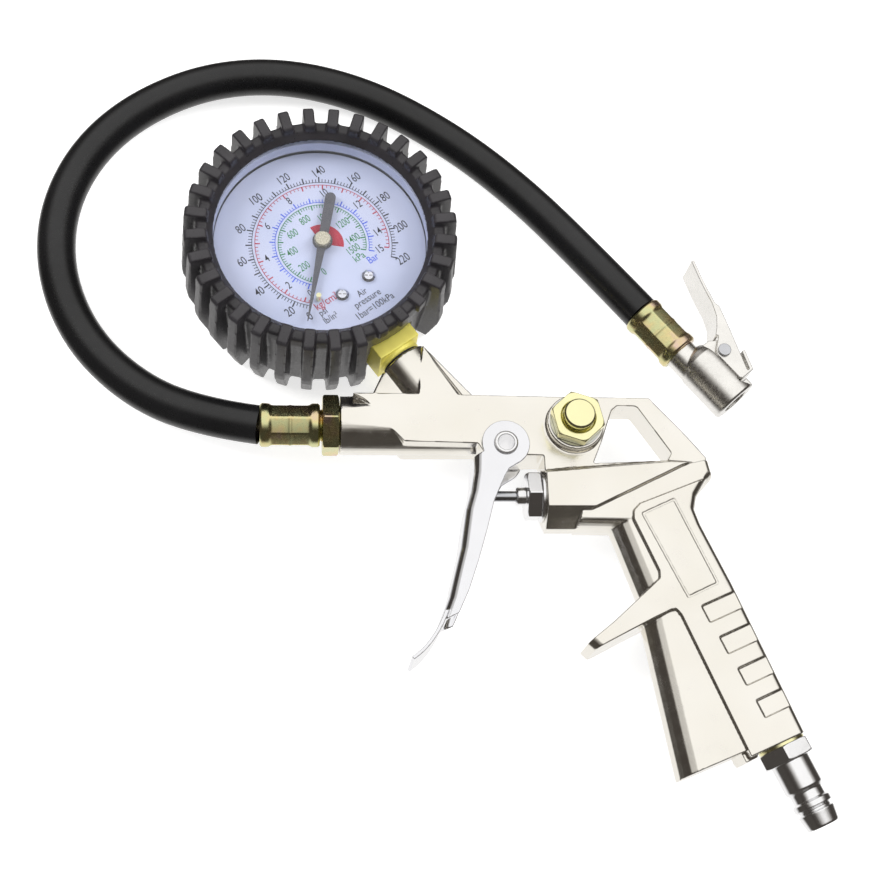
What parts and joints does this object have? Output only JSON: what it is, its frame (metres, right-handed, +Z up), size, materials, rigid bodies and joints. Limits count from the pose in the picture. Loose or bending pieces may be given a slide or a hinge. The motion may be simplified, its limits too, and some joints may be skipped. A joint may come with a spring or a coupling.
{
  "type": "tyre inflator with gauge",
  "caption": "Pistol-grip tyre inflator lying on its side: round dial gauge in a toothed rubber boot, long trigger, bleed button, quick-coupling plug, and a short hose with a clip-on chuck.",
  "frame": {"origin": "on the surface that the inflator lies on, under the middle of everything but the free hose and its chuck", "axes": "+Z up out of that surface, through the gauge's face; +X along the barrel from the hose's end to the hanging loop; +Y from the barrel towards the gauge"},
  "size_m": [0.2276, 0.2487, 0.0339],
  "materials": {
    "champagne_casting": "fine shot-blasted satin",
    "trigger_plate": "bright plate, faint blue cast",
    "bright_nickel": "bright",
    "black_rubber": "matt",
    "bright_brass": "bright pale brass",
    "steel_rod": "ground",
    "sintered_bronze": "porous",
    "boot_rubber": "satin dark grey",
    "case_steel": "black",
    "clear_lens": "clear",
    "dial_white": "satin white with printed scales",
    "pointer_paint": "dark grey",
    "cap_brass": "pale brass",
    "yellow_zinc": "iridescent yellow passivated zinc plate",
    "hose_rubber": "smooth glossy black",
    "chuck_nickel": "satin nickel"
  },
  "bodies": {
    "gun": {"gun_body": "champagne_casting", "trigger_rivet": "bright_nickel", "gland_nut": "bright_nickel", "gland_o_ring": "black_rubber", "valve_seat": "bright_brass", "valve_spring": "steel_rod", "bleeder_body": "bright_brass", "bleeder_washer": "steel_rod", "bleeder_spring": "steel_rod", "bleeder_seal": "black_rubber", "inlet_plug": "bright_nickel", "inlet_seal": "bright_brass", "inlet_filter": "sintered_bronze", "gauge_boot": "boot_rubber", "gauge_case": "case_steel", "gauge_lens": "clear_lens", "lens_ring": "dial_white", "gauge_socket": "bright_brass", "socket_seal": "black_rubber", "bourdon_tube": "bright_brass", "movement_plates": "bright_brass", "movement_bracket": "bright_brass", "dial_plate": "dial_white", "dial_screws": "bright_nickel", "zero_stop_pin": "bright_brass", "ferrule_gun_end": "yellow_zinc", "hose_nipple": "yellow_zinc", "ferrule_chuck_end": "yellow_zinc", "chuck_stem": "bright_brass", "hose": "hose_rubber", "chuck_body": "chuck_nickel", "chuck_seal": "black_rubber", "chuck_depressor": "bright_brass", "lever_pin": "steel_rod", "lever_spring": "steel_rod"},
    "trigger": {"trigger": "trigger_plate"},
    "valve_stem": {"push_rod": "steel_rod", "valve_poppet": "bright_brass", "poppet_seal": "black_rubber"},
    "bleed_button": {"bleeder_button": "bright_brass"},
    "sector": {"sector_gear": "bright_brass"},
    "link": {"link_bar": "steel_rod"},
    "pointer_assembly": {"pointer": "pointer_paint", "pointer_cap": "cap_brass", "pinion_arbor": "steel_rod"},
    "clip_lever": {"chuck_lever": "chuck_nickel"}
  },
  "joints": [
    {"name": "trigger_pull", "type": "hinge", "parent": "gun", "child": "trigger", "pos_m": [0.00305, 0.00315, 0.0135], "axis": [0, 0, 1], "range_deg": [0, 14], "stiffness_Nm_per_rad": 1, "springref_deg": -17.19},
    {"name": "valve_push", "type": "slide", "parent": "gun", "child": "valve_stem", "axis": [1, 0, 0], "range_m": [0, 0.0034], "deforming": ["valve_spring"]},
    {"name": "bleed_press", "type": "slide", "parent": "gun", "child": "bleed_button", "axis": [0, 0, -1], "range_m": [0, 0.002], "stiffness_N_per_m": 800, "springref_m": -0.002, "deforming": ["bleeder_spring"]},
    {"name": "sector_swing", "type": "hinge", "parent": "gun", "child": "sector", "pos_m": [-0.06656, 0.06069, 0.0165], "axis": [0, 0, 1], "range_deg": [0, 33.75], "stiffness_Nm_per_rad": 0.002, "springref_deg": -2.86},
    {"name": "pointer_turn", "type": "hinge", "parent": "gun", "child": "pointer_assembly", "pos_m": [-0.04965, 0.06685, 0.0225], "axis": [0, 0, 1], "range_deg": [-270, 0]},
    {"name": "link_turn", "type": "hinge", "parent": "sector", "child": "link", "pos_m": [-0.07148, 0.05725, 0.0175], "axis": [0, 0, 1], "range_deg": [-33.75, 0]},
    {"name": "lever_squeeze", "type": "hinge", "parent": "gun", "child": "clip_lever", "pos_m": [0.07325, 0.03675, 0.0086], "axis": [0, 0, 1], "range_deg": [0, 12], "stiffness_Nm_per_rad": 0.3, "springref_deg": -11.46}
  ],
  "couplings": [
    {"joint": "valve_push", "follows": "trigger_pull", "m_per_rad": 0.0136},
    {"joint": "pointer_turn", "follows": "sector_swing", "ratio": -8},
    {"joint": "link_turn", "follows": "sector_swing", "ratio": -1}
  ]
}
